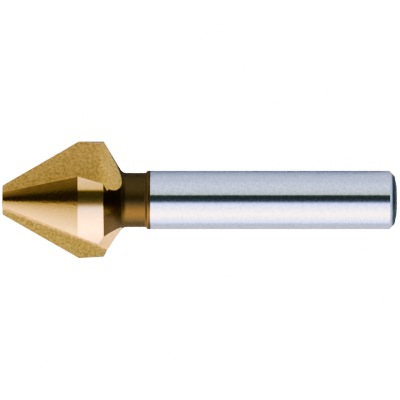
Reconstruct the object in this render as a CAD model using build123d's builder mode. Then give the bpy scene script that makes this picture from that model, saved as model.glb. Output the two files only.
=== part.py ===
from build123d import *
from math import cos, radians, sin, tan
import os

os.makedirs("parts", exist_ok=True)

# A three-flute countersink bit of 60 degrees, turned and ground from one bar of steel.
# It is made upright first, with its nose at the origin and its shank along +Z, and is
# then laid down the way it comes to rest on a flat surface, with a flute underneath.

# Driving dimensions, in millimetres and degrees.
# The turned blank
point_angle = 60.0  # full angle of the cutting cone
head_diameter = 20.0
nose_diameter = 5.0  # flat end of the cone
nose_bevel = 0.15
land_length = 4.3  # cylindrical part of the head, behind the cone
back_angle = 59.0  # slope of the head's back from the axis
neck_diameter = 9.3
neck_fillet = 1.2  # between the head's back and the neck
neck_end = 24.3  # from the nose
shank_diameter = 10.0
overall_length = 67.0
end_chamfer_width = 0.9  # 45 degree chamfer at the shank's end
end_bevel_height = 0.35  # shallow bevel inside the chamfer
end_flat_diameter = 5.0

# The flutes. Each is a notch with a flat rake face and a flat heel face, ground along a
# straight root that climbs from the nose. Angles across the axis are measured from the
# middle of the flute.
flute_count = 3
root_offset = 1.19  # of the root from the axis, level with the nose
root_angle = 29.3
root_climb_ratio = 0.416  # how far the root moves out for each millimetre of height
climb_angle = 34.3
rake_face_angle = -6.2
heel_face_angle = -78.1
root_fillet = 0.5
notch_lead_in = 1.0  # how far ahead of the nose the notch starts

# The run-outs. A wheel opens each flute through the head's back, down to the neck.
wheel_radius = 15.0
wheel_turn = 38.8  # round the wheel, from its innermost point to where it stops
wheel_axis = (-0.27, 1.0, 0.28)
run_out_floor = 0.15  # height above the neck where the wheel stops
run_out_gap = 0.1  # from there to the foot of the head's back

# Sizes that follow
head_radius = head_diameter / 2
nose_radius = nose_diameter / 2
neck_radius = neck_diameter / 2
shank_radius = shank_diameter / 2
cone_end = (head_radius - nose_radius) / tan(radians(point_angle / 2))
rim = cone_end + land_length
neck_start = rim + (head_radius - neck_radius) / tan(radians(back_angle))
shank_start = neck_end + shank_radius - neck_radius
chamfer_top = overall_length - end_bevel_height
chamfer_start = chamfer_top - end_chamfer_width
run_out_end = neck_start - run_out_gap
clear_of_head = 3 * head_radius  # size of the notch cutter


def across(radius, direction):
    """Offset across the axis, of a length and a direction in degrees."""
    return Vector(radius * cos(radians(direction)), radius * sin(radians(direction)))


# The blank, turned from bar: cone, land, back, relieved neck and plain shank
with BuildPart() as upright_bit:
    with BuildSketch(Plane.XZ) as blank_profile:
        with BuildLine():
            Polyline(
                (0, 0),
                (nose_radius, 0),
                (head_radius, cone_end),
                (head_radius, rim),
                (neck_radius, neck_start),
                (neck_radius, neck_end),
                (shank_radius, shank_start),
                (shank_radius, chamfer_start),
                (shank_radius - end_chamfer_width, chamfer_top),
                (end_flat_diameter / 2, overall_length),
                (0, overall_length),
                close=True,
            )
        make_face()
        neck_corner = blank_profile.vertices().sort_by_distance((neck_radius, neck_start))[0]
        fillet(neck_corner, neck_fillet)
        nose_corner = blank_profile.vertices().sort_by_distance((nose_radius, 0))[0]
        chamfer(nose_corner, nose_bevel)
    revolve(axis=Axis.Z)

# One notch: a V drawn across the axis ahead of the nose, pushed along the climbing root
climb = across(root_climb_ratio, climb_angle)
notch_start = across(root_offset, root_angle) - climb * notch_lead_in
with BuildPart() as notch:
    with BuildSketch(Plane.XY.offset(-notch_lead_in)) as notch_section:
        with BuildLine():
            Polyline(
                notch_start,
                notch_start + across(clear_of_head, heel_face_angle),
                notch_start + across(clear_of_head, rake_face_angle),
                close=True,
            )
        make_face()
        fillet(notch_section.vertices().sort_by_distance(notch_start)[0], root_fillet)
    extrude(amount=clear_of_head, dir=(climb.X, climb.Y, 1))

# One run-out: the wheel, cut off square at the neck
wheel_across = neck_radius + run_out_floor + wheel_radius * cos(radians(wheel_turn))
wheel_along = run_out_end + wheel_radius * sin(radians(wheel_turn))
with BuildPart() as run_out:
    with BuildSketch(Plane(origin=(wheel_across, 0, wheel_along), z_dir=wheel_axis)):
        Circle(wheel_radius)
    extrude(amount=head_radius, both=True)
    split(bisect_by=Plane.XY.offset(run_out_end), keep=Keep.BOTTOM)

with upright_bit:
    with PolarLocations(0, flute_count):
        add(notch.part, mode=Mode.SUBTRACT)
        add(run_out.part, mode=Mode.SUBTRACT)

# At rest the bit lies on a cutting corner and a heel corner of one flute and on the end of
# its shank. The plane through these three is the floor, in the upright bit's frame.
corners = upright_bit.vertices()
cutting_corner = Vector(corners.sort_by_distance((head_radius, head_radius / 3, cone_end))[0])
heel_corner = Vector(corners.sort_by_distance((head_radius, -head_radius / 2, rim))[0])
shank_end = Vector(0, 0, chamfer_start)
down = Vector(1, 0, 0)
for _ in range(5):
    shank_corner = shank_end + Vector(down.X, down.Y).normalized() * shank_radius
    down = (heel_corner - shank_corner).cross(cutting_corner - shank_corner).normalized()
along_floor = (Vector(0, 0, 1) - down * down.Z).normalized()
floor = Plane(origin=(0, 0, 0), x_dir=along_floor, z_dir=-down)

# The frame's origin is under the middle of the lying bit, with the shank towards +X.
box = floor.to_local_coords(upright_bit.part).bounding_box()
floor.origin = floor.from_local_coords(Vector(box.center().X, box.center().Y, box.min.Z))
countersink_bit = floor.to_local_coords(upright_bit.part)

countersink_bit.label = "countersink_bit"
export_step(countersink_bit, "parts/countersink_bit.step")
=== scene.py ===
from math import cos, radians, sin, tan
from types import SimpleNamespace

import bmesh
import bpy
from mathutils import Matrix, Vector

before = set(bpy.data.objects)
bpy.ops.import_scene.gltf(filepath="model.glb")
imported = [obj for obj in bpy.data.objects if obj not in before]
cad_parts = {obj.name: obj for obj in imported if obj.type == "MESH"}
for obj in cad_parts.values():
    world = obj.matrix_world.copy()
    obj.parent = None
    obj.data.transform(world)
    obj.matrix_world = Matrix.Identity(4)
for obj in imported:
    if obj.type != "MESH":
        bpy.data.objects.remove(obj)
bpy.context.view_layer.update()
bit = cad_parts["countersink_bit"]

# How the bit lies, in metres: the middle of its nose, and its axis from the nose to the
# shank's end, which leans down towards the shank.
LEAN = radians(4.6164)
NOSE = Vector((-0.0334004, 0.0, 0.0102755))
AXIS = Vector((cos(LEAN), 0.0, -sin(LEAN)))
SIDE = Vector((0.0, 1.0, 0.0))
TOP = AXIS.cross(SIDE)
METRE = 1000.0  # in millimetres, the unit of the sizes along and around the bit

# The turned outline, along the bit from the nose and out from its axis
NOSE_RADIUS = 2.5
HEAD_RADIUS = 10.0
NECK_RADIUS = 4.65
CONE_SLOPE = tan(radians(30))
CONE_END = 12.99
RIM = 17.29
BACK_SLOPE = tan(radians(59))
NECK_END = 24.3
SHANK_START = 24.65
END_CHAMFER = 65.75
END_FLAT = 2.5
# A surface this far under the outline belongs to a flute, and not to the turned skin,
# whose flat facets sag by up to 0.04.
SKIN = (-0.075, -0.045)

# The flutes' rake faces: where they face around the axis, from straight down, and how far
# they turn back towards the shank
FLUTE_COUNT = 3
RAKE_FACING = radians(-92.65)
RAKE_TILT = radians(15.12)
RAKE_MATCH = (0.78, 0.97)  # cosine of the angle to that way
RUN_OUT = (16.0, 17.6)  # where each flute turns into its run-out

# Where one finish gives way to the next, along the bit and on its end face, and where painted shade
# or painted light starts on the back cone, neck, step and shank end
ON_CONE = (CONE_END, CONE_END - 0.1)
BEHIND_RIM = (RIM + 0.01, RIM + 0.05)
BACK_TO_NECK = (18.6, 20.4)
STEP_FOOT = (NECK_END - 0.1, NECK_END)
STEP_EDGE = (SHANK_START + 0.15, SHANK_START)
DARK_END = (END_CHAMFER + 0.1, END_CHAMFER + 0.55)
DARK_RING = (END_FLAT, END_FLAT + 0.2)
COATING_END = 25.2
COATING_WAVER = 0.12
COATING_EDGE = 0.04
WAVER_STRETCH = (0.3, 0.6, 0.6)

# Colours of the gold coating, from the cone to the shank's step, and of the bare steel. Some are
# painted light and shade rather than the coating's own colour, as noted at each.
LAND_GOLD = (0.98, 0.64, 0.21, 1.0)
HEEL_GOLD = (0.71, 0.49, 0.125, 1.0)
# Painted against reflection: the rake faces are tinted olive to cancel the orange gold-on-gold
# reflection that falls on them from the heel faces.
RAKE_GOLD_TINTED_AGAINST_REFLECTION = (0.49, 0.53, 0.24, 1.0)
# Painted light: the run-outs are brighter than the heel faces, standing in for the light their
# curved surfaces catch.
RUN_OUT_GOLD_PAINTED_LIGHT = (0.98, 0.66, 0.12, 1.0)
# Painted shade: the back cone's gold is darkened to stand in for the dark reflections and shade
# behind the head.
BACK_GOLD_PAINTED_SHADE = (0.2, 0.135, 0.045, 1.0)
# Painted shade: the neck's gold is darkened to stand in for the shade and dim reflections it gets
# behind the head.
NECK_GOLD_PAINTED_SHADE = (0.135, 0.106, 0.036, 1.0)
# Painted light: the step ring is brighter than the neck, standing in for the light it catches.
STEP_GOLD_PAINTED_LIGHT = (0.28, 0.21, 0.09, 1.0)
SHANK_STEEL = (0.56, 0.635, 0.66, 1.0)
# Painted shade: the chamfer and outer end face of the shank are dark, standing in for the dark
# reflection in the chamfer.
END_STEEL_PAINTED_SHADE = (0.08, 0.12, 0.12, 1.0)
END_FLAT_STEEL = (0.2, 0.22, 0.23, 1.0)
GOLD_SHEEN = (1.0, 0.9, 0.72, 1.0)

# How rough each surface is left, and how much the grinding lines vary it
LAND_ROUGHNESS = 0.12
HEEL_AND_RAKE_ROUGHNESS = 0.6
RUN_OUT_ROUGHNESS = 0.5
BACK_ROUGHNESS = 0.22
NECK_ROUGHNESS = 0.43
STEP_ROUGHNESS = 0.7
SHANK_ROUGHNESS = 0.12
END_ROUGHNESS = 0.5
ROUGHNESS_SPREAD = 0.06

# The grainy coating in the flutes shines less than a turned surface.
FLUTE_METAL = 0.45
RUN_OUT_METAL = 0.08

# Grain and grinding lines
GRAIN_SCALE = 2.5
LINE_STRETCH = (14.0, 0.35, 0.35)
FLUTE_SPECKLE = 1.25
GOLD_SPECKLE = 0.25
STEEL_SPECKLE = 0.6
FLUTE_RELIEF = 0.5
CONE_RELIEF = 0.8
TURNED_RELIEF = 0.25
RELIEF_DEPTH = 0.00002  # metres
EDGE_ROUNDING = 0.00006  # metres

# The studio stands still around the bit. Its tones are given by the angle around the
# axis, in degrees from CAMERA_WAY, and again ahead of the nose and behind the shank's end.
STUDIO_STRENGTH = 4.0
AROUND = [
    (-180, (0.26, 0.28, 0.48)),
    (-106, (0.26, 0.27, 0.53)),
    (-90, (0.43, 0.4, 0.63)),
    (-75, (0.69, 0.53, 0.58)),
    (-60, (0.99, 0.65, 0.6)),
    (-45, (0.74, 0.56, 0.6)),
    (-30, (0.49, 0.43, 0.6)),
    (-19, (0.35, 0.34, 0.65)),
    (-15, (0.24, 0.27, 0.48)),
    (-11, (0.11, 0.12, 0.18)),
    (-5, (0.034, 0.038, 0.043)),
    (4, (0.018, 0.021, 0.0215)),
    (18.4, (0.017, 0.02, 0.0205)),
    (20.6, (0.18, 0.18, 0.17)),
    (24, (0.19, 0.19, 0.18)),
    (36, (0.22, 0.21, 0.26)),
    (53, (0.23, 0.23, 0.31)),
    (70, (0.21, 0.21, 0.27)),
    (110, (0.13, 0.15, 0.21)),
    (180, (0.22, 0.24, 0.39)),
]
AHEAD = [
    (-180, (0.3, 0.28, 0.26)),
    (-90, (0.43, 0.4, 0.37)),
    (-75, (0.31, 0.285, 0.27)),
    (-45, (0.21, 0.2, 0.19)),
    (-18, (0.11, 0.11, 0.11)),
    (-10, (0.05, 0.05, 0.05)),
    (-3, (0.008, 0.008, 0.01)),
    (12, (0.008, 0.008, 0.01)),
    (24, (0.01, 0.01, 0.01)),
    (40, (0.032, 0.032, 0.032)),
    (56, (0.043, 0.043, 0.043)),
    (75, (0.07, 0.07, 0.07)),
    (180, (0.3, 0.28, 0.26)),
]
BEHIND = [
    (-180, (0.1, 0.1, 0.1)),
    (-120, (0.45, 0.435, 0.42)),
    (-90, (0.7, 0.66, 0.62)),
    (-65, (0.12, 0.115, 0.11)),
    (-30, (0.02, 0.022, 0.024)),
    (60, (0.01, 0.012, 0.014)),
    (180, (0.02, 0.02, 0.02)),
]
# Straight along the bit, each end of the studio is one even tone.
FAR_AHEAD = (0.2, 0.19, 0.18, 1.0)
FAR_BEHIND = (0.06, 0.06, 0.06, 1.0)
# Where each part of the studio takes over, as the cosine of the angle from the axis
TO_AHEAD = (-0.3, -0.65)
TO_FAR_AHEAD = (-0.9, -0.98)
TO_BEHIND = (0.3, 0.6)
TO_FAR_BEHIND = (0.9, 0.98)

FLOOR_HALF_WIDTH = 3.0  # metres
FLOOR_COLOUR = (0.74, 0.87, 1.0, 1.0)
FLOOR_ROUGHNESS = 0.9
FLOOR_SHINE = 0.1
FLOOR_GLOW_COLOUR = (1.0, 0.97, 0.9, 1.0)
FLOOR_GLOW = 3.0

# The camera looks against CAMERA_WAY, square to the axis, from nearly overhead.
CAMERA_TURN = radians(14.55)
CAMERA_WAY = TOP * cos(CAMERA_TURN) + SIDE * sin(CAMERA_TURN)
PICTURE_UP = SIDE * cos(CAMERA_TURN) - TOP * sin(CAMERA_TURN)
PICTURE_WIDTH = 0.06787  # metres, as are the next three
PICTURE_MIDDLE = 0.03359  # from the nose, along the axis
CAMERA_DISTANCE = 1.2
CAMERA_REACH = 20.0


class Nodes:
    """Short calls for building a tree of shader nodes."""

    def __init__(self, tree):
        self.tree = tree

    def add(self, kind, **settings):
        node = self.tree.nodes.new(kind)
        for name, value in settings.items():
            setattr(node, name, value)
        return node

    def put(self, socket, value):
        """Link a socket, or set its value."""
        if isinstance(value, bpy.types.NodeSocket):
            self.tree.links.new(value, socket)
        else:
            socket.default_value = value

    def fill(self, node, values):
        for socket, value in zip(node.inputs, values):
            self.put(socket, value)
        return node.outputs[0]

    def math(self, operation, *values):
        return self.fill(self.add("ShaderNodeMath", operation=operation), values)

    def scaled(self, vector, factors):
        node = self.add("ShaderNodeVectorMath", operation="MULTIPLY")
        return self.fill(node, (vector, factors))

    def offset(self, vector, start):
        node = self.add("ShaderNodeVectorMath", operation="SUBTRACT")
        return self.fill(node, (vector, start))

    def dot(self, a, b):
        node = self.add("ShaderNodeVectorMath", operation="DOT_PRODUCT")
        self.fill(node, (a, b))
        return node.outputs["Value"]

    def length(self, vector):
        node = self.add("ShaderNodeVectorMath", operation="LENGTH")
        self.fill(node, (vector,))
        return node.outputs["Value"]

    def combine(self, x, y, z):
        return self.fill(self.add("ShaderNodeCombineXYZ"), (x, y, z))

    def step(self, value, low, high):
        """A smooth step from 0 to 1 as value goes from low to high."""
        node = self.add("ShaderNodeMapRange", interpolation_type="SMOOTHSTEP")
        return self.fill(node, (value, low, high, 0.0, 1.0))

    def noise(self, vector, scale=1.0, detail=2.0, roughness=0.5):
        node = self.add("ShaderNodeTexNoise")
        self.put(node.inputs["Vector"], vector)
        node.inputs["Scale"].default_value = scale
        node.inputs["Detail"].default_value = detail
        node.inputs["Roughness"].default_value = roughness
        return node.outputs["Fac"]

    def mix(self, factor, a, b, blend_type="MIX"):
        """Mix two colours."""
        node = self.add("ShaderNodeMix", data_type="RGBA", blend_type=blend_type)
        self.put(node.inputs["Factor"], factor)
        self.put(node.inputs[6], a)
        self.put(node.inputs[7], b)
        return node.outputs[2]

    def blend(self, factor, a, b):
        """Mix two numbers."""
        node = self.add("ShaderNodeMix", data_type="FLOAT")
        self.put(node.inputs["Factor"], factor)
        self.put(node.inputs[2], a)
        self.put(node.inputs[3], b)
        return node.outputs[0]

    def tones(self, angle, stops):
        """Tones given at angles from -180 to 180 degrees, for an angle given as 0 to 1."""
        node = self.add("ShaderNodeValToRGB")
        self.put(node.inputs[0], angle)
        elements = node.color_ramp.elements
        while len(elements) < len(stops):
            elements.new(0.5)
        for element, (degrees, tone) in zip(elements, stops):
            element.position = degrees / 360 + 0.5
            element.color = (*tone, 1.0)
        return node.outputs[0]


def places_on_the_bit(n):
    """Places along, around and out from the axis, in millimetres from the nose."""
    place = n.offset(n.add("ShaderNodeTexCoord").outputs["Object"], NOSE)
    along, side, top = [n.math("MULTIPLY", n.dot(place, way), METRE) for way in (AXIS, SIDE, TOP)]
    return SimpleNamespace(
        along=along,
        side=side,
        top=top,
        radius=n.length(n.combine(0.0, side, top)),
        whole=n.combine(along, side, top),
    )


def turned_outline(n, along):
    """Radius of the cone, the land, the back and the neck, as turned before the flutes."""
    cone = n.math("MULTIPLY_ADD", along, CONE_SLOPE, NOSE_RADIUS)
    back = n.math("MULTIPLY_ADD", along, -BACK_SLOPE, HEAD_RADIUS + RIM * BACK_SLOPE)
    back = n.math("MAXIMUM", n.math("MINIMUM", back, HEAD_RADIUS), NECK_RADIUS)
    return n.math("MINIMUM", cone, back)


def rake_faces(n):
    """Picks out the flutes' rake faces, by the way they face."""
    normal = n.add("ShaderNodeNewGeometry").outputs["True Normal"]
    rake = 0.0
    for flute in range(FLUTE_COUNT):
        facing = RAKE_FACING + radians(360 / FLUTE_COUNT * flute)
        across = SIDE * sin(facing) - TOP * cos(facing)
        way = across * cos(RAKE_TILT) + AXIS * sin(RAKE_TILT)
        rake = n.math("MAXIMUM", n.step(n.dot(normal, way), *RAKE_MATCH), rake)
    return rake


def surfaces_of_the_bit(n, place):
    """Masks from 0 to 1 for the surfaces that differ in finish, and for where painted shade or
    painted light is laid on.
    """
    along = place.along
    under_outline = n.math("SUBTRACT", place.radius, turned_outline(n, along))
    waver = n.noise(n.scaled(place.whole, WAVER_STRETCH), detail=1.0)
    coating_end = n.math("MULTIPLY_ADD", waver, COATING_WAVER, COATING_END - COATING_WAVER / 2)
    past_coating = n.math("SUBTRACT", along, coating_end)
    turned = n.step(under_outline, *SKIN)
    bare = n.step(past_coating, -COATING_EDGE, COATING_EDGE)
    return SimpleNamespace(
        turned=turned,
        bare=bare,
        smooth=n.math("MAXIMUM", turned, bare),
        cone=n.step(along, *ON_CONE),
        behind_rim=n.step(along, *BEHIND_RIM),
        neck=n.step(along, *BACK_TO_NECK),
        shank_step=n.math("MULTIPLY", n.step(along, *STEP_FOOT), n.step(along, *STEP_EDGE)),
        rake=rake_faces(n),
        run_out=n.step(along, *RUN_OUT),
        end=n.step(along, *DARK_END),
        end_ring=n.step(place.radius, *DARK_RING),
    )


def gold_and_steel(n, on, grain):
    """Colour of the coating and the bare steel, with a fine speckle, and with painted shade on the
    back cone, the neck and the shank's end, painted light on the step and the run-outs, and a tint
    against reflection on the rake faces.
    """
    turned_gold_with_painted_shade_and_light = n.mix(on.neck, BACK_GOLD_PAINTED_SHADE, n.mix(on.shank_step, NECK_GOLD_PAINTED_SHADE, STEP_GOLD_PAINTED_LIGHT))
    turned_gold_with_painted_shade_and_light = n.mix(on.behind_rim, LAND_GOLD, turned_gold_with_painted_shade_and_light)
    flute_gold_with_painted_light_and_tint = n.mix(on.rake, n.mix(on.run_out, HEEL_GOLD, RUN_OUT_GOLD_PAINTED_LIGHT), RAKE_GOLD_TINTED_AGAINST_REFLECTION)
    gold = n.mix(on.turned, flute_gold_with_painted_light_and_tint, turned_gold_with_painted_shade_and_light)
    # The shank's end carries painted shade.
    steel = n.mix(on.end, SHANK_STEEL, n.mix(on.end_ring, END_FLAT_STEEL, END_STEEL_PAINTED_SHADE))
    smooth_speckle = n.blend(on.bare, GOLD_SPECKLE, STEEL_SPECKLE)
    speckle = n.blend(on.smooth, FLUTE_SPECKLE, smooth_speckle)
    speckle = n.math("MULTIPLY", n.math("SUBTRACT", grain, 0.5), speckle)
    speckle = n.math("ADD", speckle, 1.0)
    return n.mix(1.0, n.mix(on.bare, gold, steel), n.combine(speckle, speckle, speckle), "MULTIPLY")


def ground_roughness(n, on, lines):
    flute = n.blend(on.run_out, HEEL_AND_RAKE_ROUGHNESS, RUN_OUT_ROUGHNESS)
    neck = n.blend(on.shank_step, NECK_ROUGHNESS, STEP_ROUGHNESS)
    turned = n.blend(on.neck, BACK_ROUGHNESS, neck)
    coated = n.blend(on.turned, flute, n.blend(on.behind_rim, LAND_ROUGHNESS, turned))
    roughness = n.blend(on.bare, coated, n.blend(on.end, SHANK_ROUGHNESS, END_ROUGHNESS))
    roughness = n.math("SUBTRACT", roughness, ROUGHNESS_SPREAD / 2)
    return n.math("MULTIPLY_ADD", lines, ROUGHNESS_SPREAD, roughness)


def grain_and_lines_relief(n, on, grain, lines):
    """Normal with rounded edges, grain in the flutes and on the cone, and lines elsewhere."""
    edge = n.add("ShaderNodeBevel", samples=6)
    edge.inputs["Radius"].default_value = EDGE_ROUNDING
    off_cone = n.math("SUBTRACT", 1.0, on.cone)
    height = n.blend(n.math("MULTIPLY", on.smooth, off_cone), grain, lines)
    depth_under = n.blend(on.bare, FLUTE_RELIEF, TURNED_RELIEF)
    depth = n.blend(on.turned, depth_under, n.blend(on.cone, TURNED_RELIEF, CONE_RELIEF))
    bump = n.add("ShaderNodeBump")
    bump.inputs["Strength"].default_value = 1.0
    bump.inputs["Distance"].default_value = RELIEF_DEPTH
    n.put(bump.inputs["Height"], n.math("MULTIPLY", height, depth))
    n.put(bump.inputs["Normal"], edge.outputs[0])
    return bump.outputs[0]


def coated_and_ground_steel():
    """Gold coating over the head and the neck, and bare ground steel on the shank, with painted
    shade and painted light in some of their colours.
    """
    material = bpy.data.materials.new("tool_steel_ground_and_coated")
    material.use_nodes = True
    material.node_tree.nodes.clear()
    n = Nodes(material.node_tree)

    place = places_on_the_bit(n)
    on = surfaces_of_the_bit(n, place)
    grain = n.noise(place.whole, GRAIN_SCALE)
    # Lines run around the bit, and around the axis on its end faces too.
    ring = n.combine(n.math("ADD", place.along, place.radius), place.side, place.top)
    lines = n.noise(n.scaled(ring, LINE_STRETCH), detail=4.0, roughness=0.7)

    shader = n.add("ShaderNodeBsdfPrincipled")
    flute_metal = n.blend(on.run_out, FLUTE_METAL, RUN_OUT_METAL)
    n.put(shader.inputs["Metallic"], n.blend(on.smooth, flute_metal, 1.0))
    n.put(shader.inputs["Base Color"], gold_and_steel(n, on, grain))
    n.put(shader.inputs["Roughness"], ground_roughness(n, on, lines))
    n.put(shader.inputs["Normal"], grain_and_lines_relief(n, on, grain, lines))
    shader.inputs["Specular Tint"].default_value = GOLD_SHEEN
    output = n.add("ShaderNodeOutputMaterial")
    n.put(output.inputs["Surface"], shader.outputs[0])
    return material


def light_the_studio():
    """Soft graded light around the bit, from bright panels and dark gaps."""
    world = bpy.data.worlds.new("studio")
    world.use_nodes = True
    world.node_tree.nodes.clear()
    n = Nodes(world.node_tree)
    way = n.add("ShaderNodeTexCoord").outputs["Generated"]
    front = n.dot(way, CAMERA_WAY)
    up = n.dot(way, PICTURE_UP)
    along = n.dot(way, AXIS)
    # The angle around the bit, from -180 to 180 degrees, as 0 to 1
    angle = n.math("MULTIPLY_ADD", n.math("ARCTAN2", up, front), 1 / radians(360), 0.5)
    ahead = n.mix(n.step(along, *TO_FAR_AHEAD), n.tones(angle, AHEAD), FAR_AHEAD)
    behind = n.mix(n.step(along, *TO_FAR_BEHIND), n.tones(angle, BEHIND), FAR_BEHIND)
    tone = n.mix(n.step(along, *TO_AHEAD), n.tones(angle, AROUND), ahead)
    tone = n.mix(n.step(along, *TO_BEHIND), tone, behind)
    background = n.add("ShaderNodeBackground")
    n.put(background.inputs["Color"], tone)
    background.inputs["Strength"].default_value = STUDIO_STRENGTH
    output = n.add("ShaderNodeOutputWorld")
    n.put(output.inputs["Surface"], background.outputs[0])
    bpy.context.scene.world = world


def pale_floor():
    material = bpy.data.materials.new("pale_floor")
    material.use_nodes = True
    n = Nodes(material.node_tree)
    shader = material.node_tree.nodes["Principled BSDF"]
    shader.inputs["Base Color"].default_value = FLOOR_COLOUR
    shader.inputs["Roughness"].default_value = FLOOR_ROUGHNESS
    shader.inputs["Specular IOR Level"].default_value = FLOOR_SHINE
    # The floor shows white to the eye, and adds no light of its own to the bit.
    shader.inputs["Emission Color"].default_value = FLOOR_GLOW_COLOUR
    seen = n.add("ShaderNodeLightPath").outputs["Is Camera Ray"]
    n.put(shader.inputs["Emission Strength"], n.math("MULTIPLY", seen, FLOOR_GLOW))
    return material


def lay_the_floor():
    mesh = bpy.data.meshes.new("floor")
    work = bmesh.new()
    bmesh.ops.create_grid(work, x_segments=1, y_segments=1, size=FLOOR_HALF_WIDTH)
    work.to_mesh(mesh)
    work.free()
    mesh.materials.append(pale_floor())
    floor = bpy.data.objects.new("floor", mesh)
    bpy.context.collection.objects.link(floor)


def set_the_camera():
    data = bpy.data.cameras.new("camera")
    data.lens = data.sensor_width * CAMERA_DISTANCE / PICTURE_WIDTH
    data.clip_end = CAMERA_REACH
    camera = bpy.data.objects.new("camera", data)
    bpy.context.collection.objects.link(camera)
    place = NOSE + AXIS * PICTURE_MIDDLE + CAMERA_WAY * CAMERA_DISTANCE
    turn = Matrix((AXIS, PICTURE_UP, CAMERA_WAY)).transposed().to_4x4()
    camera.matrix_world = Matrix.Translation(place) @ turn
    bpy.context.scene.camera = camera


bit.material_slots[0].material = coated_and_ground_steel()
light_the_studio()
lay_the_floor()
set_the_camera()

view = bpy.context.scene.view_settings
view.view_transform = "AgX"
view.look = "AgX - Very High Contrast"
